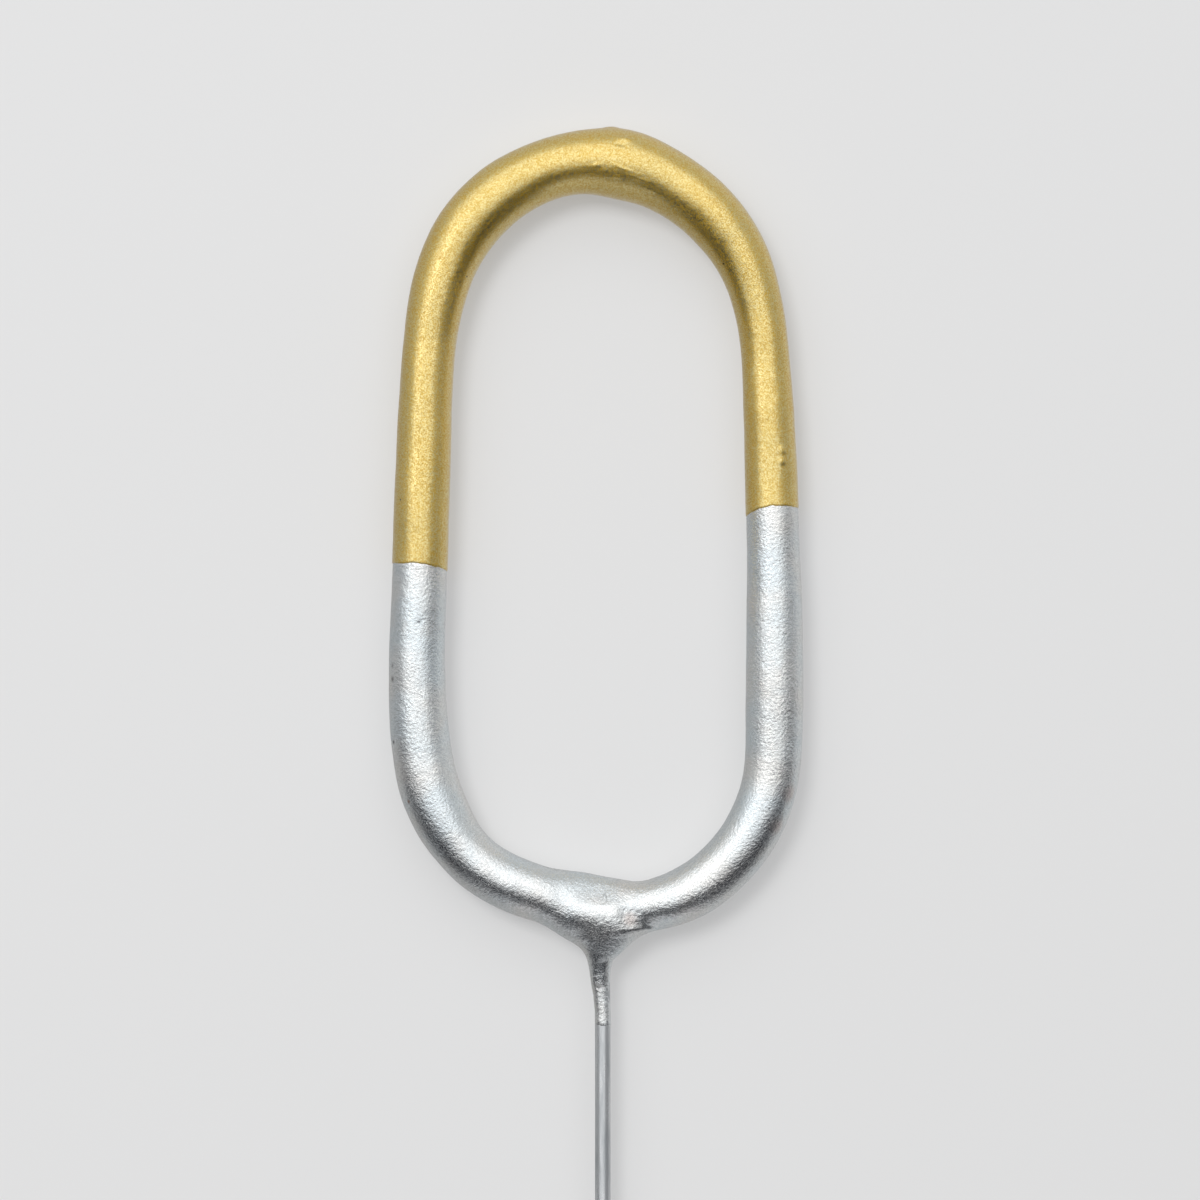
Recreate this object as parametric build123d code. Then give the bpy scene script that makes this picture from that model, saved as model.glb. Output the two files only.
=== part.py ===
from build123d import *
from math import ceil, cos, pi, radians, tan
from numpy import interp
import os

# A hand-dipped numeral sparkler. All sizes are in millimetres. The tip of the stem is the origin,
# +Z runs up the stem to the head, and the numeral faces -Y.

# Core wire: stem, bend at the fork, loop and free end
wire_diameter = 1.4
bare_stem_length = 99.0  # tip of the stem up to the lower end of the coat
coated_stem_length = 10.9  # lower end of the coat up to the middle of the fork
fork_offset = 0.12  # the coated stretch leans, so the fork lies this far left of the stem's axis
fork_bend_radius = 2.6
free_end_offset = 0.4  # the free end stops this far right of the fork
weld_diameter = 2.0  # spot weld that ties the free end to the bend
weld_length = 1.6

# Middle line of the loop, from the fork clockwise round to the free end
loop_width = 32.1  # between the middles of the two legs
loop_height = 66.9  # middle of the fork up to the middle of the crown
loop_shift = 0.5  # the loop's middle lies this far left of the fork
# Corners that the bends round off: across as a share of the width, up as a share of the height
corner_shares = [
    (-0.228, 0.021),
    (-0.395, 0.076),
    (-0.500, 0.196),
    (-0.496, 0.512),
    (-0.456, 0.828),
    (-0.308, 0.956),
    (0.020, 1.017),
    (0.330, 0.938),
    (0.460, 0.820),
    (0.490, 0.620),
    (0.503, 0.263),
    (0.482, 0.114),
    (0.264, 0.008),
]
bend_share = 0.49  # each bend takes this share of the shorter run beside its corner

# Dipped rod round the loop, measured over the silver coat
rod_diameter = 4.9
# Where the dip drained thin or pooled thick: share of the way round, share of the rod's diameter
swell_shares = [
    (0.000, 1.03),
    (0.080, 1.02),
    (0.120, 1.11),
    (0.170, 1.05),
    (0.240, 1.00),
    (0.360, 0.945),
    (0.400, 1.06),
    (0.435, 1.12),
    (0.470, 1.09),
    (0.515, 1.28),
    (0.560, 1.13),
    (0.600, 0.97),
    (0.645, 0.84),
    (0.690, 0.90),
    (0.780, 1.01),
    (0.840, 1.07),
    (0.870, 1.03),
    (1.000, 1.02),
]

# Bead that closes the fork, between the ends of the two arms
bead_left_reach = 4.4  # middle of the fork to the bead's end on the left arm
bead_right_reach = 4.2
bead_diameter = 6.2
bead_sag = 0.4  # the bead hangs this far below the middle of the rod
# Rings of the bead: share of the way across from its right end, share of its diameter
bead_ring_shares = [(0.18, 0.97), (0.86, 0.97)]

# Underside of the bead and the run-down on the stem. Rings of the neck, from the run-down up into the
# bead: drop below the middle of the fork as a share of the coated stretch, share of the bead's diameter
neck_ring_shares = [(0.51, 0.34), (0.43, 0.42), (0.36, 0.61), (0.29, 0.84), (0.10, 0.90), (0.00, 0.30)]
neck_end_diameter = 1.56

# Layers on the wire
silver_thickness = 0.5  # silver coat over the dark core of spark compound
gold_step = 0.07  # the gold coat stands this far above the silver one
# Edges of the gold on the left leg and on the right one, as shares of the way round
gold_edge_shares = (0.2385, 0.7353)

# Rings that the rod and the wire are lofted through
rod_turn = 13.0  # degrees of bend between two rings of the rod and its layers
rod_spacing = 12.0  # longest way between two of them on the legs
wire_turn = 30.0  # the same on the wire, once it is past the fork
wire_spacing = 40.0

coat_end = bare_stem_length
fork = Vector(-fork_offset, 0, bare_stem_length + coated_stem_length)

os.makedirs("parts", exist_ok=True)


def loop_corners():
    """Corners of the loop in the XZ plane, from the fork round to the free end."""
    found = [fork]
    for across, up in corner_shares:
        found.append(fork + Vector(loop_width * across - loop_shift, 0, loop_height * up))
    found.append(fork + Vector(free_end_offset, 0, 0))
    return found


def bend_radii(corners):
    """The largest bend that each corner has room for between its two runs."""
    radii = []
    for before, here, after in zip(corners, corners[1:], corners[2:]):
        run_in, run_out = here - before, after - here
        reach = bend_share * min(run_in.length, run_out.length)
        radii.append(reach / tan(radians(run_in.get_angle(run_out) / 2)))
    return radii


def ring_places(line, turn, spacing, start, end):
    """Shares of the way along a line from start to end, close together where it bends."""
    shares, gaps = [0.0], [0.0]
    for edge in line.edges():
        bend = (edge % 0).get_angle(edge % 1)
        shares.append(shares[-1] + edge.length / line.length)
        gaps.append(gaps[-1] + max(bend / turn, edge.length / spacing))
    first, last = interp([start, end], shares, gaps)
    count = ceil(last - first)
    return [interp(first + (last - first) * ring / count, gaps, shares) for ring in range(count + 1)]


def swell(place):
    """Share of the rod's diameter at a share of the way round, eased between the listed places."""
    for (start, thin), (end, thick) in zip(swell_shares, swell_shares[1:]):
        if place <= end:
            ease = (1 - cos(pi * (place - start) / (end - start))) / 2
            return thin + (thick - thin) * ease
    return swell_shares[-1][1]


def disc(middle, along, diameter):
    """A disc square to a direction in the loop's plane."""
    return Plane(origin=middle, x_dir=(0, 1, 0), z_dir=along) * Circle(diameter / 2)


def rings_on(line, places, diameters):
    """One disc across a line at each place along it."""
    return [disc(line @ place, line % place, size) for place, size in zip(places, diameters)]


def rod_rings(growth, places):
    """Rings of the dipped rod, grown all round from their size over the silver."""
    return rings_on(loop_line, places, [rod_diameter * swell(share) + 2 * growth for share in places])


def rod(growth, places):
    """The dipped rod between two places of the loop, grown all round from its size over the silver."""
    return loft(rod_rings(growth, places), ruled=True)


def bead():
    """Bead round the fork, lofted from the end of the right arm to the end of the left one."""
    left, right = (Vector(loop_line @ end) for end in rod_ends)
    left_ring, right_ring = rod_rings(0, rod_ends)
    rings = [right_ring]
    for across, size in bead_ring_shares:
        middle = right + (left - right) * across - Vector(0, 0, bead_sag)
        rings.append(disc(middle, left - right, bead_diameter * size))
    return loft(rings + [left_ring], ruled=True)


def neck():
    """Underside of the bead, drawn in to the run-down on the stem."""
    rings = [disc((0, 0, coat_end), (0, 0, 1), neck_end_diameter)]
    for drop, size in neck_ring_shares:
        level = fork.Z - coated_stem_length * drop
        rings.append(disc((0, 0, level), (0, 0, 1), bead_diameter * size))
    return loft(rings, ruled=True)


def wire_share(place):
    """Share of the way along the whole wire for a share of the way round the loop."""
    return 1 - (1 - place) * loop_line.length / wire_line.length


def core_wire():
    """Bare stem, coated stretch, bend at the fork and loop in one wire."""
    coated, fork_bend = (edge.length for edge in wire_line.edges()[:2])
    bend_start, bend_end = coated / wire_line.length, (coated + fork_bend) / wire_line.length
    places = ring_places(wire_line, rod_turn, rod_spacing, bend_start, bend_end)
    # Past the bend, one ring lies in each plane where another part starts or ends on the wire
    stops = [bend_end, *(wire_share(end) for end in rod_ends), weld_start, 1]
    for start, end in zip(stops, stops[1:]):
        places += ring_places(wire_line, wire_turn, wire_spacing, start, end)[1:]
    stem = [disc((0, 0, level), (0, 0, 1), wire_diameter) for level in (0, coat_end)]
    return loft(stem + rings_on(wire_line, places, [wire_diameter] * len(places)), ruled=True)


def coat(growth, start, end):
    """A coat over the core between two places of the loop, grown from the size over the silver."""
    places = ring_places(loop_line, rod_turn, rod_spacing, start, end)
    return rod(growth, places) - rod(-silver_thickness, places)


loop_points = loop_corners()
loop_bends = bend_radii(loop_points)
loop_line = FilletPolyline(*loop_points, radius=loop_bends)
wire_points = [Vector(0, 0, coat_end)] + loop_points
wire_line = FilletPolyline(*wire_points, radius=[fork_bend_radius] + loop_bends)

# Places where the rod starts and ends at the bead, and the edges of the gold between them
rod_ends = (bead_left_reach / loop_line.length, 1 - bead_right_reach / loop_line.length)
left_edge, right_edge = gold_edge_shares

core_places = ring_places(loop_line, rod_turn, rod_spacing, rod_ends[0], left_edge)
core_places += ring_places(loop_line, rod_turn, rod_spacing, left_edge, right_edge)[1:]
core_places += ring_places(loop_line, rod_turn, rod_spacing, right_edge, rod_ends[1])[1:]

weld_start = 1 - weld_length / 2 / wire_line.length
wire = core_wire()
weld = extrude(disc(wire_line @ 1, wire_line % 1, weld_diameter), weld_length / 2, both=True) - wire

nodes = {
    "core_wire": wire,
    "closing_weld": weld,
    "fork_bead": bead() + neck() - wire - weld,
    "spark_core": rod(-silver_thickness, core_places) - wire,
    "silver_coat": coat(0, rod_ends[0], left_edge) + coat(0, right_edge, rod_ends[1]),
    "gold_coat": coat(gold_step, left_edge, right_edge),
}
for name, shape in nodes.items():
    export_step(shape, f"parts/{name}.step")
    print(name, len(shape.solids()), "solids", round(shape.volume, 2), "mm3")
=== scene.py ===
import math

import bmesh
import bpy
import numpy as np
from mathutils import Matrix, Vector, noise


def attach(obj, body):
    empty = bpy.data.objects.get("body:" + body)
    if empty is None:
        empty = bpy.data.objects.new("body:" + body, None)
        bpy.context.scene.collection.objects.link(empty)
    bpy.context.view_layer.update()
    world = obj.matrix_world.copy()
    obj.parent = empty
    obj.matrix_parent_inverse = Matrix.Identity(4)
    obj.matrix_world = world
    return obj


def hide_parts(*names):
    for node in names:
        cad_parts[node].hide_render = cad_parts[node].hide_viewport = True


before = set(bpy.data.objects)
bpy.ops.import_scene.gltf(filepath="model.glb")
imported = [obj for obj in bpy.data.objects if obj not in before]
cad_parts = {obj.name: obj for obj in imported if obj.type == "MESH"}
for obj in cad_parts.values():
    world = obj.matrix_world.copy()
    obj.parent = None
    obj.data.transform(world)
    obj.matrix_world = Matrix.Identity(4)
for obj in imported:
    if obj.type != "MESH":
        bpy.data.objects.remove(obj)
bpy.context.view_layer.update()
mm = 0.001  # shapes below are worked in millimetres and built in metres

# the loop of the numeral: (x, z) of the fork, the corners its line rounds off, and the free end
loop = {
    "corners": [
        (-0.12, 109.90), (-8.60, 111.48), (-13.86, 115.71), (-16.98, 124.22), (-16.32, 145.83),
        (-15.52, 165.83), (-9.73, 174.50), (0.08, 177.74), (9.24, 173.39), (14.18, 165.65),
        (15.17, 151.72), (15.58, 129.48), (15.16, 118.05), (8.02, 110.12), (0.28, 109.90),
    ],
    # thickness of the dipped rod: share of the way round from the fork, millimetres over the silver
    "thickness": [
        (0.000, 5.25), (0.030, 5.12), (0.060, 4.96), (0.083, 5.00), (0.099, 5.32), (0.115, 5.45),
        (0.130, 5.38), (0.152, 5.22), (0.178, 5.10), (0.205, 4.97), (0.235, 4.86), (0.263, 4.91),
        (0.300, 4.79), (0.330, 4.67), (0.356, 4.62), (0.370, 4.77), (0.385, 5.00), (0.402, 5.22),
        (0.418, 5.46), (0.436, 5.54), (0.455, 5.43), (0.470, 5.34), (0.486, 5.46), (0.498, 5.68),
        (0.508, 6.12), (0.518, 6.30), (0.528, 6.02), (0.538, 5.77), (0.550, 5.63), (0.570, 5.34),
        (0.582, 5.16), (0.592, 4.92), (0.604, 4.68), (0.615, 4.45), (0.634, 4.18), (0.656, 4.14),
        (0.668, 4.22), (0.682, 4.43), (0.700, 4.50), (0.730, 4.64), (0.762, 4.80), (0.790, 5.03),
        (0.818, 5.19), (0.842, 5.24), (0.858, 5.08), (0.880, 5.07), (0.900, 5.08), (0.925, 5.00),
        (0.951, 4.95), (0.975, 5.02), (1.000, 5.15),
    ],
    "smoothing": 0.005,  # share of the way round over which the thickness is evened out
    "steps": 2000,  # even steps round the loop at which the thickness is kept
}


def roundedLine(corners, pieces=90):
    # every corner is rounded off from the middle of one run to the middle of the next
    corners = np.array(corners, float)
    middles = (corners[:-1] + corners[1:]) / 2
    t = np.linspace(0, 1, pieces, endpoint=False)[:, None]
    line = [corners[:1]]
    for before, corner, after in zip(middles, corners[1:-1], middles[1:]):
        line.append((1 - t) ** 2 * before + 2 * t * (1 - t) * corner + t ** 2 * after)
    return np.vstack(line + [corners[-1:]])


linePoints = roundedLine(loop["corners"])
lineSteps = np.linalg.norm(np.diff(linePoints, axis=0), axis=1)
lineLength = lineSteps.sum()
lineShares = np.concatenate(([0], np.cumsum(lineSteps))) / lineLength

evenShares = np.linspace(0, 1, loop["steps"] + 1)
thicknessRaw = np.interp(evenShares, *np.array(loop["thickness"]).T)
kernelReach = int(3 * loop["smoothing"] * loop["steps"])
kernelPlaces = np.arange(-kernelReach, kernelReach + 1) / (loop["smoothing"] * loop["steps"])
kernel = np.exp(-0.5 * kernelPlaces ** 2)
thicknessEven = np.convolve(np.pad(thicknessRaw, kernelReach, mode="edge"), kernel / kernel.sum(), "valid")


def lineAt(share):
    # middle of the rod and the direction away from the loop's centre, both as x and z
    def along(place):
        return np.array([np.interp(place, lineShares, linePoints[:, axis]) for axis in (0, 1)])

    step = 0.0015
    x, z = along(share)
    dx, dz = along(np.clip(share + step, 0, 1)) - along(np.clip(share - step, 0, 1))
    size = np.hypot(dx, dz)
    return x, z, -dz / size, dx / size


def radiusAt(share):
    return np.interp(share, evenShares, thicknessEven) / 2


def shareAtHeight(height, leftLeg):
    # share of the way round at which a leg passes a height; the legs lie between these shares
    way = np.linspace(0.12, 0.40, 600) if leftLeg else np.linspace(0.88, 0.60, 600)
    return np.interp(height, np.interp(way, lineShares, linePoints[:, 1]), way)


def meshFromRings(name, rings):
    # rings of points in millimetres, closed round each ring and capped at both ends
    count, sides = rings.shape[:2]
    index = np.arange(count * sides).reshape(count, sides)
    beside = np.roll(index, -1, axis=1)
    quads = np.stack([index[:-1], beside[:-1], beside[1:], index[1:]], axis=-1).reshape(-1, 4)
    mesh = bpy.data.meshes.new(name)
    mesh.from_pydata((rings.reshape(-1, 3) * mm).tolist(), [],
                     quads.tolist() + [index[0].tolist(), index[-1][::-1].tolist()])
    work = bmesh.new()
    work.from_mesh(mesh)
    bmesh.ops.recalc_face_normals(work, faces=work.faces)
    work.to_mesh(mesh)
    work.free()
    piece = bpy.data.objects.new(name, mesh)
    bpy.context.scene.collection.objects.link(piece)
    return piece


def sweepRod(starts, ends, along, sides, growth):
    # rings round the loop's line; each of the lines along the rod has its own start and end share
    turn = np.linspace(0, 2 * math.pi, sides, endpoint=False)
    shares = starts + (ends - starts) * along[:, None]
    x, z, outX, outZ = lineAt(shares)
    radius = radiusAt(shares) + growth(shares)
    outwards = radius * np.cos(turn)
    return np.stack([x + outwards * outX, -radius * np.sin(turn), z + outwards * outZ], -1)


def readMesh(piece):
    mesh = piece.data
    points, normals = np.zeros(len(mesh.vertices) * 3), np.zeros(len(mesh.vertices) * 3)
    mesh.vertices.foreach_get("co", points)
    mesh.vertex_normals.foreach_get("vector", normals)
    return points.reshape(-1, 3) / mm, normals.reshape(-1, 3)


def lumpHeight(points, layers, seed):
    # height in millimetres of noise layers given as (size of the lumps, height)
    height = np.zeros(len(points))
    for number, (size, rise) in enumerate(layers):
        shift = Vector((seed + 7.3 * number, 2.1 * seed, -seed))
        height += rise * np.array([noise.noise(Vector(point) / size + shift) for point in points])
    return height


def creaseHeight(points, creases):
    # dents and ridges on the front only: (x, z, half length, half width, turn, height)
    height = np.zeros(len(points))
    facing = np.clip(-points[:, 1] / 1.5, 0, 1)  # fades out over the last 1.5 mm before the sides
    for x, z, reach, width, turn, rise in creases:
        c, s = math.cos(math.radians(turn)), math.sin(math.radians(turn))
        dx, dz = points[:, 0] - x, points[:, 2] - z
        fade = np.exp(-((dx * c + dz * s) / reach) ** 2 - ((dz * c - dx * s) / width) ** 2)
        height += rise * facing * fade
    return height


def spotAmount(points, spots):
    # how much of each round spot (x, y, z, radius, amount) reaches every point
    amount = np.zeros(len(points))
    for x, y, z, radius, rise in spots:
        away = ((points - (x, y, z)) ** 2).sum(1) / radius ** 2
        amount += rise * np.exp(-away ** 1.5)
    return amount


def paintSpots(piece, label, spots):
    # the amount is kept on the mesh for the material to read
    points, _ = readMesh(piece)
    layer = piece.data.attributes.new(label, "FLOAT", "POINT")
    layer.data.foreach_set("value", np.clip(spotAmount(points, spots), 0, 1).astype(np.float32))


def raiseSurface(piece, height):
    points, normals = readMesh(piece)
    moved = (points + normals * height[:, None]) * mm
    piece.data.vertices.foreach_set("co", moved.ravel())
    piece.data.update()
    piece.data.shade_smooth()


# slow unevenness of the dip, the same under both colours: size of the lumps, height
dipLumps = [(4.5, 0.060), (1.7, 0.014)]

# gold dip on the upper half
goldDip = {
    "edgeLeft": [140.50, 140.62, 140.00, 140.25],  # height of its edge: outer side, front, inner side, back
    "edgeRight": [145.50, 145.80, 144.90, 145.30],
    "edgeWander": 0.10,  # how much that height wavers on the way round
    "step": 0.065,  # how far it stands above the silver
    "lip": 0.22,  # width of its rounded edge
    "lipRings": [0, 0.03, 0.08, 0.14, 0.20, 0.28, 0.38],
    "tuck": 0.25,  # the very end turns in under the edge by this much
    "ringGap": 0.12,
    "sides": 132,
    "grain": [(0.5, 0.008)],
    "creases": [  # drag wrinkles under the crown and the small ridge above them
        (1.95, 178.55, 0.70, 0.20, -14, 0.10), (1.55, 178.05, 0.45, 0.14, -10, -0.06),
        (2.05, 175.75, 1.10, 0.11, -22, 0.06), (2.45, 175.25, 0.90, 0.10, -18, 0.06),
        (3.30, 174.85, 0.80, 0.10, -12, 0.05), (-0.60, 176.15, 0.40, 0.11, 8, 0.06),
        (1.10, 175.15, 0.70, 0.10, -6, 0.04), (4.30, 173.95, 0.90, 0.10, -24, 0.04),
    ],
    "knobs": [  # nib on the crown, two drops on the right leg, small ones elsewhere
        (0.80, 0.0, 180.05, 0.75, 0.13), (16.20, -2.3, 150.75, 0.42, 0.10), (16.15, -2.3, 149.80, 0.38, 0.09),
        (4.9, -2.2, 177.7, 0.28, 0.05), (-3.0, 2.6, 176.0, 0.6, 0.06), (14.6, 1.9, 160.0, 0.5, 0.05),
    ],
    "rust": [(-18.75, 0.0, 140.55, 0.55, 0.8), (-18.2, -1.0, 140.3, 0.3, 0.3)],
}


def edgeShares(heights, leftLeg, sides, wander, seed):
    # share of the way round at which each line along the gold starts or ends
    turn = np.linspace(0, 2 * math.pi, sides, endpoint=False)
    level = np.interp(turn, np.linspace(0, 2 * math.pi, 5), heights + heights[:1])
    for rise, waves in ((wander, 2), (0.5 * wander, 6)):
        places = [Vector((waves * math.cos(angle), waves * math.sin(angle), seed)) for angle in turn]
        level += rise * np.array([noise.noise(place) for place in places])
    return shareAtHeight(level, leftLeg)


def makeGoldDip(s):
    starts = edgeShares(s["edgeLeft"], True, s["sides"], s["edgeWander"], 3.0)
    ends = edgeShares(s["edgeRight"], False, s["sides"], s["edgeWander"], 8.0)
    span = (ends - starts).mean() * lineLength
    lip = np.array(s["lipRings"]) / span
    even = np.linspace(0.5 / span, 1 - 0.5 / span, int(span / s["ringGap"]))
    along = np.concatenate([lip, even, 1 - lip[::-1]])

    def growth(shares):
        inwards = np.minimum(shares - starts, ends - shares) * lineLength
        rounding = np.clip(inwards / s["lip"], 0, 1)
        return s["step"] * np.sqrt(1 - (1 - rounding) ** 2) - s["tuck"] * (inwards < 1e-6)

    piece = meshFromRings("goldDip", sweepRod(starts, ends, along, s["sides"], growth))
    points, _ = readMesh(piece)
    raiseSurface(piece, lumpHeight(points, dipLumps, 5.0) + lumpHeight(points, s["grain"], 9.0)
                 + creaseHeight(points, s["creases"]) + spotAmount(points, s["knobs"]))
    paintSpots(piece, "rust", s["rust"])
    paintSpots(piece, "soot", [])
    return piece


goldPiece = makeGoldDip(goldDip)
print("gold dip:", len(goldPiece.data.vertices), "vertices")

# silver coat of the two lower arms, the bead that closes the fork and its run-down on the stem
silverDip = {
    "goldEdges": (140.7, 145.9),  # height at which each arm, left and right, goes under the gold
    "underGold": 1.6,  # it runs on this far beneath the gold, and is this much thinner there
    "thinning": 0.25,
    "swellGap": 3,  # millimetres between two values of an arm's swell, counted from the fork
    "leftArm": {"start": (0.60, 109.49), "swell": [0.00, 0.12, -0.04, 0.04, 0]},
    "rightArm": {"start": (-0.60, 109.65), "swell": [-1.10, -0.63, -0.16, 0, 0]},
    "bead": (-0.73, 108.95, 3.84, 2.51, 2.35),  # x, z, half width, half height, half depth
    "neck": [  # half width, half depth, x and z of the underside and the run-down
        (0.73, 0.73, 0.03, 98.97), (0.71, 0.71, 0.00, 100.4), (0.77, 0.75, -0.11, 101.9),
        (0.90, 0.82, -0.20, 103.0), (1.00, 0.93, -0.25, 104.1), (1.16, 1.12, -0.22, 104.9),
        (1.62, 1.50, 0.04, 105.6), (2.02, 1.85, 0.20, 106.3), (2.52, 2.15, 0.36, 107.0),
        (2.99, 2.30, 1.30, 107.8), (3.29, 2.30, -0.09, 109.4),
    ],
    "blend": 0.5,  # how softly arms, bead and neck run together
    "faceShares": [  # share of the depth at each height around the fork
        (102.6, 1.00), (103.4, 1.06), (104.1, 1.12), (104.9, 1.14), (105.6, 1.01),
        (106.3, 0.92), (107.0, 0.86), (107.7, 0.88), (108.4, 0.86), (109.2, 0.84),
        (110.0, 0.80), (110.6, 0.73), (111.4, 0.62), (112.2, 0.54), (113.0, 0.50),
    ],
    "faceMiddle": -0.6,  # x of the middle of that stretch, and how far it reaches to either side
    "faceReach": 5.2,
    "joint": (0, 0, 109),  # round this point the parts run together
    "jointReach": 13.0,
    "jointEase": 2.5,  # width of the rim over which that fades out
    "sides": 64,
    "ringGap": 0.3,
    "voxel": 0.135,  # cell size when arms, bead and neck become one skin
    "grain": [(0.45, 0.008)],
    "coarse": [(0.34, 0.035), (0.18, 0.022)],  # lump size and height of the crumbly parts
    "crumbly": [(0.0, -0.9, 103.4, 3.0, 0.8), (0.4, -2.6, 108.6, 1.5, 0.8), (2.3, -2.2, 109.2, 1.1, 0.8)],
    "creases": [  # nick high on the left arm, and the dips where the arms meet the bead
        (-16.40, 135.35, 0.30, 0.09, 28, -0.07), (2.10, 109.3, 1.50, 0.80, 96, -0.20),
        (-3.60, 110.0, 1.40, 0.80, 102, -0.16),
    ],
    "knobs": [  # three pinholes on the left arm, two soft drops at the back
        (-18.65, -1.2, 131.45, 0.20, -0.10), (-18.65, -1.2, 130.25, 0.24, -0.10),
        (-18.65, -1.1, 124.6, 0.16, -0.08), (15.8, 1.9, 131.0, 0.6, 0.05), (-12.0, 2.0, 113.5, 0.5, 0.05),
    ],
    "soot": [
        (-18.65, -1.2, 131.45, 0.26, 1.0), (-18.65, -1.2, 130.25, 0.30, 1.0), (-18.65, -1.1, 124.6, 0.20, 1.0),
        (-12.2, -1.3, 112.6, 0.30, 0.8), (-10.6, -1.3, 111.6, 0.26, 0.7), (-8.5, -1.2, 110.35, 0.30, 0.8),
        (-16.40, -2.45, 135.35, 0.12, 0.8), (0.35, -2.0, 111.5, 0.12, 0.8), (2.10, -1.7, 112.2, 0.14, 0.9),
        (-3.40, -2.3, 111.2, 0.14, 0.9),
    ],
    "rust": [
        (-17.35, -1.7, 119.3, 0.16, 0.9), (16.67, -1.6, 120.0, 0.9, 0.35), (15.3, -1.5, 117.2, 0.9, 0.35),
        (2.4, -2.0, 108.8, 0.7, 0.30),
    ],
}


def armField(points, arm, corners, leftLeg, swellGap):
    # distance to an arm that runs from the fork up to its leg
    line = roundedLine([arm["start"]] + corners, 40)
    way = np.concatenate(([0], np.cumsum(np.linalg.norm(np.diff(line, axis=0), axis=1))))
    places = np.linspace(0, 20, 81)
    x, z = (np.interp(places, way, line[:, axis]) for axis in (0, 1))
    radius = radiusAt(places / lineLength if leftLeg else 1 - places / lineLength)
    radius += np.interp(places, np.arange(len(arm["swell"])) * swellGap, arm["swell"])
    away = (points[:, :1] - x) ** 2 + (points[:, 2:] - z) ** 2
    nearest = away.argmin(1)
    return np.sqrt(away[np.arange(len(points)), nearest] + points[:, 1] ** 2) - radius[nearest]


def jointField(points, s):
    # below zero inside the arms, the bead and the neck run together
    left = armField(points, s["leftArm"], loop["corners"][1:4], True, s["swellGap"])
    right = armField(points, s["rightArm"], loop["corners"][-4:-1][::-1], False, s["swellGap"])
    beadX, beadZ, wide, high, deep = s["bead"]
    bead = np.linalg.norm((points - (beadX, 0, beadZ)) / (wide, deep, high), axis=1)
    rows = np.array(s["neck"])
    halfWide, halfDeep, middle = (np.interp(points[:, 2], rows[:, 3], rows[:, axis]) for axis in range(3))
    slope = np.interp(points[:, 2], rows[:, 3], np.gradient(rows[:, 0], rows[:, 3]))
    x = points[:, 0] - middle
    share = np.hypot(x / halfWide, points[:, 1] / halfDeep) + 1e-9
    sideways = np.hypot(x, points[:, 1]) * (1 - 1 / share)
    neck = np.maximum(sideways, points[:, 2] - rows[-1, 3]) / np.hypot(1, slope)
    fields = np.stack([left, right, (bead - 1) * high, neck])
    least = fields.min(0)
    return least - s["blend"] * np.log(np.exp((least - fields) / s["blend"]).sum(0))


def settleOnJoint(piece, s):
    # the vertices around the fork are moved on to the surface where the parts run together
    points, _ = readMesh(piece)
    reach = np.linalg.norm(points - s["joint"], axis=1)
    neckFoot = s["neck"][0][3]
    near = (reach < s["jointReach"]) & (points[:, 2] > neckFoot + 0.25)
    moved, step, longest = points[near].copy(), 0.01, 0.4
    for turn in range(7):
        value = jointField(moved, s)
        slope = np.stack([jointField(moved + offset, s) - value for offset in np.eye(3) * step], -1) / step
        moved -= slope * np.clip(value / (slope ** 2).sum(1), -longest, longest)[:, None]
    leanFace(moved, s)
    ease = np.clip((s["jointReach"] - reach[near]) / s["jointEase"], 0, 1)[:, None]
    points[near] += (moved - points[near]) * ease
    piece.data.vertices.foreach_set("co", (points * mm).ravel())
    piece.data.update()


def leanFace(points, s):
    # the brow over the fork leans back, and the chin runs down evenly into the neck
    level, share = np.array(s["faceShares"]).T
    near = np.clip(1 - np.abs(points[:, 0] - s["faceMiddle"]) / s["faceReach"], 0, 1)
    points[:, 1] *= 1 + (np.interp(points[:, 2], level, share) - 1) * near * near * (3 - 2 * near)


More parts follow.
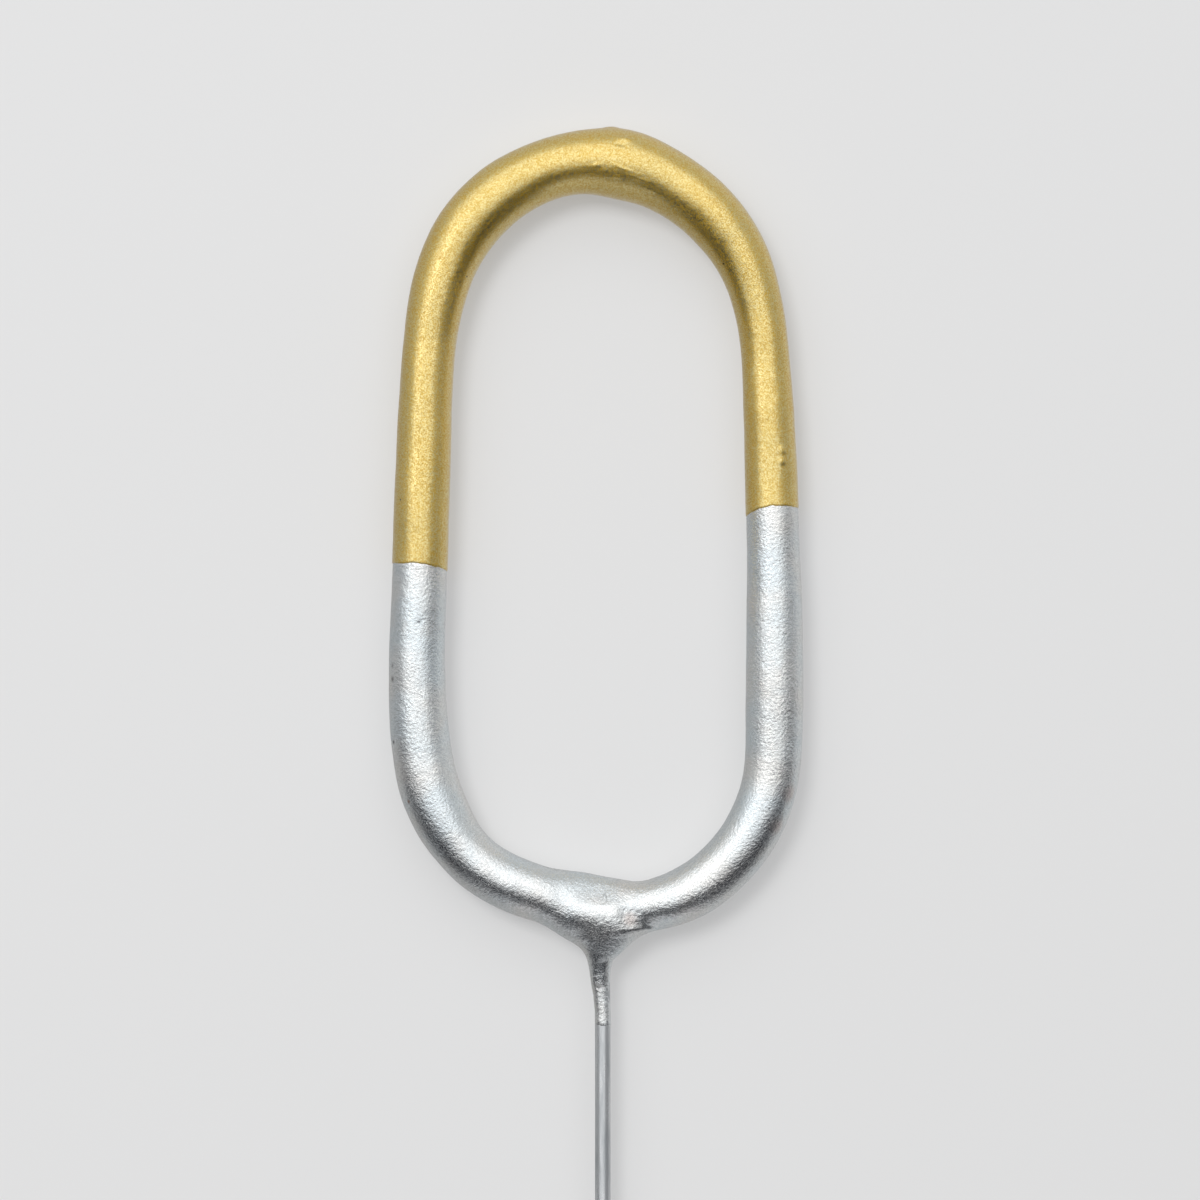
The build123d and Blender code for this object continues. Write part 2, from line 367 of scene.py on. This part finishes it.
def makeSilverHead(s):
    leftShare, rightShare = (shareAtHeight(height, left) for height, left in zip(s["goldEdges"], (True, False)))
    leftEnd = leftShare + s["underGold"] / lineLength
    rightEnd = rightShare - s["underGold"] / lineLength
    parts, sides = [], s["sides"]

    def thinUnderGold(shares):
        pastLeft = np.clip((shares - leftShare) * lineLength, 0, 1)
        return -s["thinning"] * pastLeft * np.clip((rightShare - shares) * lineLength, 0, 1)

    for start, end in ((0.0, leftEnd), (rightEnd, 1.0)):
        along = np.linspace(0, 1, int((end - start) * lineLength / s["ringGap"]))
        flat = np.full(sides, start), np.full(sides, end)
        parts.append(meshFromRings("arm", sweepRod(*flat, along, sides, thinUnderGold)))
    x, z, wide, high, deep = s["bead"]
    turn = np.linspace(0, 2 * math.pi, sides, endpoint=False)
    tilt = np.linspace(-math.pi / 2 + 0.05, math.pi / 2 - 0.05, 40)[:, None]
    bead = np.stack([x + wide * np.sin(tilt) + 0 * turn, -deep * np.cos(tilt) * np.sin(turn),
                     z + high * np.cos(tilt) * np.cos(turn)], -1)
    parts.append(meshFromRings("bead", bead))
    rows = np.array(s["neck"])
    level = np.linspace(rows[0, 3], rows[-1, 3], 120)
    halfWide, halfDeep, middle = (np.interp(level, rows[:, 3], rows[:, axis])[:, None] for axis in range(3))
    parts.append(meshFromRings("neck", np.stack([middle + halfWide * np.cos(turn), halfDeep * np.sin(turn),
                                                 level[:, None] + 0 * turn], -1)))
    head = parts[0]
    with bpy.context.temp_override(active_object=head, selected_editable_objects=parts):
        bpy.ops.object.join()
    head.name = head.data.name = "silverHead"
    remesh = head.modifiers.new("oneSkin", "REMESH")
    remesh.mode, remesh.voxel_size = "VOXEL", s["voxel"] * mm
    keepShape(head)
    settleOnJoint(head, s)
    even = head.modifiers.new("even", "SMOOTH")
    even.factor, even.iterations = 0.5, 4
    keepShape(head)
    points, _ = readMesh(head)
    crumbly = np.clip(spotAmount(points, s["crumbly"]), 0, 1)
    raiseSurface(head, lumpHeight(points, dipLumps, 5.0) + lumpHeight(points, s["grain"], 11.0)
                 + crumbly * lumpHeight(points, s["coarse"], 2.0)
                 + creaseHeight(points, s["creases"]) + spotAmount(points, s["knobs"]))
    paintSpots(head, "soot", s["soot"])
    paintSpots(head, "rust", s["rust"])
    return head


def keepShape(piece):
    # the modifiers' result becomes the piece's own mesh
    shaped = bpy.data.meshes.new_from_object(piece.evaluated_get(bpy.context.evaluated_depsgraph_get()))
    piece.modifiers.clear()
    piece.data = shaped
    shaped.name = piece.name


silverPiece = makeSilverHead(silverDip)
print("silver head:", len(silverPiece.data.vertices), "vertices")


# shared shader effects
def nodeGroup(name, inputs, outputs):
    group = bpy.data.node_groups.new(name, "ShaderNodeTree")
    for label, kind, value in inputs:
        socket = group.interface.new_socket(label, in_out="INPUT", socket_type=kind)
        socket.default_value = value
    for label, kind in outputs:
        group.interface.new_socket(label, in_out="OUTPUT", socket_type=kind)
    return group, group.nodes.new("NodeGroupInput"), group.nodes.new("NodeGroupOutput")


def addNode(tree, kind, links=None, **settings):
    # links holds a value or another node's output for each named or numbered input
    node = tree.nodes.new(kind)
    for key, value in settings.items():
        setattr(node, key, value)
    for socket, source in (links or {}).items():
        if hasattr(source, "is_output"):
            tree.links.new(source, node.inputs[socket])
        else:
            node.inputs[socket].default_value = source
    return node


def inMillimetres(tree):
    place = addNode(tree, "ShaderNodeTexCoord").outputs["Object"]
    return addNode(tree, "ShaderNodeVectorMath", {0: place, 1: (1000, 1000, 1000)}, operation="MULTIPLY").outputs[0]


def oneOver(tree, source):
    return addNode(tree, "ShaderNodeMath", {0: 1.0, 1: source}, operation="DIVIDE").outputs[0]


def sparkleGroup():
    # powder grain of the dip: a height, and flakes that catch the light one by one
    group, given, made = nodeGroup(
        "dipSparkle",
        [("Flake Size", "NodeSocketFloat", 0.12), ("Lump Size", "NodeSocketFloat", 0.5)],
        [("Height", "NodeSocketFloat"), ("Flakes", "NodeSocketFloat"), ("Drift", "NodeSocketFloat")])
    place = inMillimetres(group)
    flakeScale, lumpScale = (oneOver(group, given.outputs[label]) for label in ("Flake Size", "Lump Size"))
    flakes = addNode(group, "ShaderNodeTexVoronoi", {"Vector": place, "Scale": flakeScale, "Randomness": 1.0})
    flakeValue = addNode(group, "ShaderNodeSeparateColor", {"Color": flakes.outputs["Color"]}).outputs["Red"]
    lumps = addNode(group, "ShaderNodeTexNoise",
                    {"Vector": place, "Scale": lumpScale, "Detail": 6.0, "Roughness": 0.62})
    drift = addNode(group, "ShaderNodeTexNoise", {"Vector": place, "Scale": 0.22, "Detail": 3.0})
    flakeRise = 0.09  # height of a flake beside that of a lump
    rise = addNode(group, "ShaderNodeMath", {0: flakeValue, 1: flakeRise, 2: lumps.outputs["Fac"]},
                   operation="MULTIPLY_ADD")
    group.links.new(rise.outputs[0], made.inputs["Height"])
    group.links.new(flakeValue, made.inputs["Flakes"])
    group.links.new(drift.outputs["Fac"], made.inputs["Drift"])
    return group


def pitGroup():
    # scattered dark pits and specks
    group, given, made = nodeGroup(
        "dipPits",
        [("Spacing", "NodeSocketFloat", 1.2), ("Size", "NodeSocketFloat", 0.12), ("Amount", "NodeSocketFloat", 0.3)],
        [("Pits", "NodeSocketFloat")])
    scale = oneOver(group, given.outputs["Spacing"])
    cells = addNode(group, "ShaderNodeTexVoronoi",
                    {"Vector": inMillimetres(group), "Scale": scale, "Randomness": 1.0})
    pick = addNode(group, "ShaderNodeSeparateColor", {"Color": cells.outputs["Color"]}).outputs["Green"]
    dot, chosen = (addNode(group, "ShaderNodeMath", {0: value, 1: given.outputs[label]},
                           operation="LESS_THAN").outputs[0]
                   for value, label in ((cells.outputs["Distance"], "Size"), (pick, "Amount")))
    pits = addNode(group, "ShaderNodeMath", {0: dot, 1: chosen}, operation="MULTIPLY")
    group.links.new(pits.outputs[0], made.inputs["Pits"])
    return group


sparkle, pitSpecks = sparkleGroup(), pitGroup()


def newMaterial(name):
    material = bpy.data.materials.new(name)
    material.use_nodes = True
    return material, material.node_tree, material.node_tree.nodes["Principled BSDF"]


def setInputs(node, values):
    for label, value in values.items():
        node.inputs[label].default_value = value


def addBump(tree, shader, height, strength, depth):
    bump = addNode(tree, "ShaderNodeBump", {"Height": height, "Strength": strength, "Distance": depth * mm})
    tree.links.new(bump.outputs["Normal"], shader.inputs["Normal"])


def ramp(tree, source, stops):
    # colours at their places on a scale from 0 to 1
    node = addNode(tree, "ShaderNodeValToRGB", {"Fac": source})
    while len(node.color_ramp.elements) < len(stops):
        node.color_ramp.elements.new(0.5)
    for element, (place, color) in zip(node.color_ramp.elements, stops):
        element.position, element.color = place, (*color, 1)
    return node.outputs["Color"]


def dipMaterial(name, s):
    # metal powder bound in lacquer
    material, tree, shader = newMaterial(name)
    grain = addNode(tree, "ShaderNodeGroup", {}, node_tree=sparkle)
    pits = addNode(tree, "ShaderNodeGroup", {}, node_tree=pitSpecks)
    setInputs(grain, {"Flake Size": s["flakeSize"], "Lump Size": s["lumpSize"]})
    setInputs(pits, {"Spacing": s["pitSpacing"], "Size": s["pitSize"], "Amount": s["pitAmount"]})
    darkest, middle, brightest = s["flakeStops"]
    flakeColor = ramp(tree, grain.outputs["Flakes"],
                      [(darkest, s["deep"]), (middle, s["mid"]), (brightest, s["bright"])])
    driftColor = ramp(tree, grain.outputs["Drift"], [(0.35, s["driftCool"]), (0.65, s["driftWarm"])])
    color = addNode(tree, "ShaderNodeMix", {0: 1.0, 6: flakeColor, 7: driftColor}, data_type="RGBA",
                    blend_type="MULTIPLY").outputs[2]
    rust, soot = (addNode(tree, "ShaderNodeAttribute", {}, attribute_name=label).outputs["Fac"]
                  for label in ("rust", "soot"))
    dark = addNode(tree, "ShaderNodeMath", {0: pits.outputs["Pits"], 1: soot}, operation="MAXIMUM").outputs[0]
    for amount, stain in ((rust, s["rust"]), (dark, s["pit"])):
        color = addNode(tree, "ShaderNodeMix", {0: amount, 6: color, 7: (*stain, 1)}, data_type="RGBA").outputs[2]
    tree.links.new(color, shader.inputs["Base Color"])
    rough = addNode(tree, "ShaderNodeMapRange", {0: grain.outputs["Flakes"], 1: darkest, 2: brightest,
                                                3: s["roughness"][0], 4: s["roughness"][1]})
    tree.links.new(rough.outputs[0], shader.inputs["Roughness"])
    setInputs(shader, {"Metallic": s["metallic"], "Coat Weight": s["coat"], "Coat Roughness": s["coatRoughness"],
                       "Coat IOR": s["coatIor"]})
    addBump(tree, shader, grain.outputs["Height"], s["bumpStrength"], s["bumpDepth"])
    return material


# in both finishes: sizes in millimetres, roughness of the dullest flakes first, then of the brightest
silverFinish = {
    "deep": (0.79, 0.81, 0.82), "mid": (0.84, 0.857, 0.865), "bright": (0.89, 0.902, 0.91),
    "flakeStops": (0.25, 0.45, 0.65), "driftCool": (0.93, 0.98, 1.0), "driftWarm": (1.0, 0.98, 0.95),
    "flakeSize": 0.09, "lumpSize": 0.25, "roughness": (0.25, 0.14), "metallic": 1.0,
    "coat": 0.0, "coatRoughness": 0.2, "coatIor": 1.5,
    "rust": (0.55, 0.33, 0.24), "pit": (0.02, 0.02, 0.025), "pitSpacing": 1.5, "pitSize": 0.05, "pitAmount": 0.12,
    "bumpStrength": 0.7, "bumpDepth": 0.09,
}
goldFinish = {
    "deep": (0.77, 0.50, 0.045), "mid": (0.81, 0.575, 0.11), "bright": (0.87, 0.71, 0.28),
    "flakeStops": (0.25, 0.45, 0.65), "driftCool": (0.97, 0.98, 1.0), "driftWarm": (1.0, 0.99, 0.94),
    "flakeSize": 0.07, "lumpSize": 0.30, "roughness": (0.58, 0.28), "metallic": 1.0,
    "coat": 1.0, "coatRoughness": 0.28, "coatIor": 1.75,
    "rust": (0.80, 0.42, 0.32), "pit": (0.10, 0.06, 0.02), "pitSpacing": 1.8, "pitSize": 0.05, "pitAmount": 0.12,
    "bumpStrength": 0.45, "bumpDepth": 0.06,
}

silverPiece.data.materials.clear()
silverPiece.data.materials.append(dipMaterial("silverDip", silverFinish))
goldPiece.data.materials.append(dipMaterial("goldDip", goldFinish))

for piece, nodes, slotName in ((silverPiece, ("silver_coat", "fork_bead"), "silver_finish"),
                               (goldPiece, ("gold_coat",), "gold_finish")):
    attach(piece, "root")
    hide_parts(*nodes)
print("dips finished")

# galvanised wire of the stem, drawn lengthwise
wireFinish = {
    "dark": (0.47, 0.50, 0.515), "light": (0.68, 0.70, 0.71), "roughness": (0.24, 0.42), "metallic": 0.78,
    "marks": (2600, 2600, 260),  # drawing marks to the metre across the wire, and along it
    "bumpStrength": 0.35, "bumpDepth": 0.03,
}


def wireMaterial(s):
    material, tree, shader = newMaterial("galvanisedWire")
    place = addNode(tree, "ShaderNodeTexCoord").outputs["Object"]
    drawn = addNode(tree, "ShaderNodeVectorMath", {0: place, 1: s["marks"]}, operation="MULTIPLY").outputs[0]
    marks = addNode(tree, "ShaderNodeTexNoise", {"Vector": drawn, "Scale": 1.0, "Detail": 5.0, "Roughness": 0.6})
    color = ramp(tree, marks.outputs["Fac"], [(0.3, s["dark"]), (0.62, s["light"])])
    tree.links.new(color, shader.inputs["Base Color"])
    smoothest, roughest = s["roughness"]
    rough = addNode(tree, "ShaderNodeMapRange", {0: marks.outputs["Fac"], 1: 0.3, 2: 0.7, 3: roughest, 4: smoothest})
    tree.links.new(rough.outputs[0], shader.inputs["Roughness"])
    setInputs(shader, {"Metallic": s["metallic"]})
    addBump(tree, shader, marks.outputs["Fac"], s["bumpStrength"], s["bumpDepth"])
    return material


# compound and weld, both out of sight under the dip
compoundFinish = {
    "dark": (0.03, 0.03, 0.032), "light": (0.12, 0.12, 0.125), "size": 0.2, "roughness": 0.8, "metallic": 0.2,
}
weldFinish = {
    "dark": (0.10, 0.09, 0.08), "light": (0.32, 0.31, 0.30), "size": 0.3, "roughness": 0.45, "metallic": 0.9,
}


def speckledMaterial(name, s):
    material, tree, shader = newMaterial(name)
    place = addNode(tree, "ShaderNodeTexCoord").outputs["Object"]
    grains = addNode(tree, "ShaderNodeTexNoise", {"Vector": place, "Scale": 1000 / s["size"], "Detail": 4.0})
    color = ramp(tree, grains.outputs["Fac"], [(0.35, s["dark"]), (0.65, s["light"])])
    tree.links.new(color, shader.inputs["Base Color"])
    setInputs(shader, {"Roughness": s["roughness"], "Metallic": s["metallic"]})
    addBump(tree, shader, grains.outputs["Fac"], 0.4, 0.05)
    return material


carried = {
    "core_wire": wireMaterial(wireFinish),
    "spark_core": speckledMaterial("sparkCompound", compoundFinish),
    "closing_weld": speckledMaterial("weldSteel", weldFinish),
}
for nodeName, material in carried.items():
    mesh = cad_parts[nodeName].data
    mesh.materials.clear()
    mesh.materials.append(material)
print("wire, compound and weld finished")

# paper behind the sparkler, floor, studio light and camera
studio = {
    "paperColor": (0.80, 0.80, 0.80),
    "paperBehind": 3.22,  # millimetres behind the sparkler's middle
    "paperHalfWidth": 0.6,  # metres, as the next two
    "paperHeight": 1.2,
    "floorHalfWidth": 2.0,
    "paperGlow": 0.50,  # share of its own even brightness in what the camera sees of it
    "glowColor": (0.67, 0.67, 0.67),
    "frameHeight": 108.0,  # millimetres of the sparkler that the picture takes in
    "lens": 120.0,
    "film": 36.0,
    "target": (-0.25, 137.34),  # x and z of the middle of the picture
    "lampAim": (0, 0, 0.137),
    "lamps": {  # place over the aim, width, height, power
        "softbox": ((-0.11, -0.73, 0.30), 1.66, 1.34, 5.6),
        "key": ((-0.42, -0.65, 0.20), 0.17, 0.17, 0.15),
        "paperLamp": ((-0.22, -0.74, 0.24), 0.25, 0.25, 2.5),
    },
    # grey of the room towards the front, from straight down (0) to straight up (1)
    "roomFront": [
        (0.0, (0.62, 0.62, 0.63)), (0.05, (0.56, 0.56, 0.57)), (0.10, (0.04, 0.04, 0.045)),
        (0.37, (0.02, 0.02, 0.025)), (0.45, (0.24, 0.24, 0.25)), (0.51, (0.47, 0.475, 0.48)),
        (1.0, (0.52, 0.525, 0.53)),
    ],
    # grey of the room behind the sparkler: in the middle, more to the right, more upwards
    "roomBehind": (0.50, 0.12, 0.08),
    "roomShown": (0.76, 0.76, 0.76),  # what the camera sees of the room
}


def stageCard(name, corners, color, seeThroughBehind):
    # a card for the camera alone: the metal doesn't mirror it, and it throws no shadow
    mesh = bpy.data.meshes.new(name)
    mesh.from_pydata(corners, [], [(0, 1, 2, 3)])
    card = bpy.data.objects.new(name, mesh)
    bpy.context.scene.collection.objects.link(card)
    material, tree, shader = newMaterial(name)
    setInputs(shader, {"Base Color": (*color, 1), "Roughness": 0.9, "Specular IOR Level": 0.1})
    if seeThroughBehind:
        glow = addNode(tree, "ShaderNodeEmission",
                       {"Color": (*studio["glowColor"], 1), "Strength": 1.0}).outputs["Emission"]
        seen = addNode(tree, "ShaderNodeLightPath").outputs["Is Camera Ray"]
        share = addNode(tree, "ShaderNodeMath", {0: seen, 1: studio["paperGlow"]}, operation="MULTIPLY").outputs[0]
        lit = addNode(tree, "ShaderNodeMixShader", {0: share, 1: shader.outputs["BSDF"], 2: glow}).outputs[0]
        behind = addNode(tree, "ShaderNodeNewGeometry").outputs["Backfacing"]
        clear = addNode(tree, "ShaderNodeBsdfTransparent").outputs["BSDF"]
        both = addNode(tree, "ShaderNodeMixShader", {0: behind, 1: lit, 2: clear})
        tree.links.new(both.outputs[0], tree.nodes["Material Output"].inputs["Surface"])
    mesh.materials.append(material)
    for ray in ("visible_glossy", "visible_diffuse", "visible_transmission", "visible_shadow"):
        setattr(card, ray, False)


back, wide, tall = studio["paperBehind"] * mm, studio["paperHalfWidth"], studio["paperHeight"]
far = studio["floorHalfWidth"]
paperCorners = [(-wide, back, 0), (wide, back, 0), (wide, back, tall), (-wide, back, tall)]
stageCard("paper", paperCorners, studio["paperColor"], True)
stageCard("floor", [(-far, -far, 0), (far, -far, 0), (far, far, 0), (-far, far, 0)], studio["paperColor"], False)


def areaLamp(name, offset, width, height, power):
    aim = studio["lampAim"]
    place = [middle + away for middle, away in zip(aim, offset)]
    lamp = bpy.data.lights.new(name, "AREA")
    lamp.shape, lamp.size, lamp.size_y, lamp.energy = "RECTANGLE", width, height, power
    holder = bpy.data.objects.new(name, lamp)
    holder.location = place
    holder.rotation_euler = (Vector(aim) - Vector(place)).to_track_quat("-Z", "Y").to_euler()
    bpy.context.scene.collection.objects.link(holder)
    return holder


lamps = {name: areaLamp(name, *values) for name, values in studio["lamps"].items()}
lamps["paperLamp"].visible_glossy = False  # lights the paper, leaves no spot of its own on the metal

# the room that the metal mirrors: bright behind, above and at the very foot, dark in front below the middle
world = bpy.data.worlds.new("studioRoom")
bpy.context.scene.world = world
world.use_nodes = True
room = world.node_tree
direction = addNode(room, "ShaderNodeSeparateXYZ", {0: addNode(room, "ShaderNodeTexCoord").outputs["Generated"]})
paperSide = addNode(room, "ShaderNodeMapRange", {0: direction.outputs["Y"], 1: -0.05, 2: 0.25, 3: 0.0, 4: 1.0},
                    interpolation_type="SMOOTHSTEP").outputs[0]
behindLevel, moreRight, moreUp = studio["roomBehind"]
for axis, more in (("X", moreRight), ("Z", moreUp)):
    behindLevel = addNode(room, "ShaderNodeMath", {0: direction.outputs[axis], 1: more, 2: behindLevel},
                          operation="MULTIPLY_ADD").outputs[0]
upwards = addNode(room, "ShaderNodeMapRange", {0: direction.outputs["Z"], 1: -1.0, 2: 1.0}).outputs[0]
frontLevel = ramp(room, upwards, studio["roomFront"])
mirrored = addNode(room, "ShaderNodeMix", {0: paperSide, 6: frontLevel, 7: behindLevel}, data_type="RGBA").outputs[2]
camera = addNode(room, "ShaderNodeLightPath").outputs["Is Camera Ray"]
shown = addNode(room, "ShaderNodeMix", {0: camera, 6: mirrored, 7: (*studio["roomShown"], 1)},
                data_type="RGBA").outputs[2]
room.links.new(shown, room.nodes["Background"].inputs["Color"])
room.nodes["Background"].inputs["Strength"].default_value = 1.0

lens = bpy.data.cameras.new("camera")
lens.lens, lens.sensor_width = studio["lens"], studio["film"]
eye = bpy.data.objects.new("camera", lens)
distance = studio["frameHeight"] * studio["lens"] / studio["film"]
eye.location = (studio["target"][0] * mm, -distance * mm, studio["target"][1] * mm)
eye.rotation_euler = (math.pi / 2, 0, 0)
bpy.context.scene.collection.objects.link(eye)
bpy.context.scene.camera = eye
bpy.context.scene.view_settings.view_transform = "Standard"
print("studio set up")
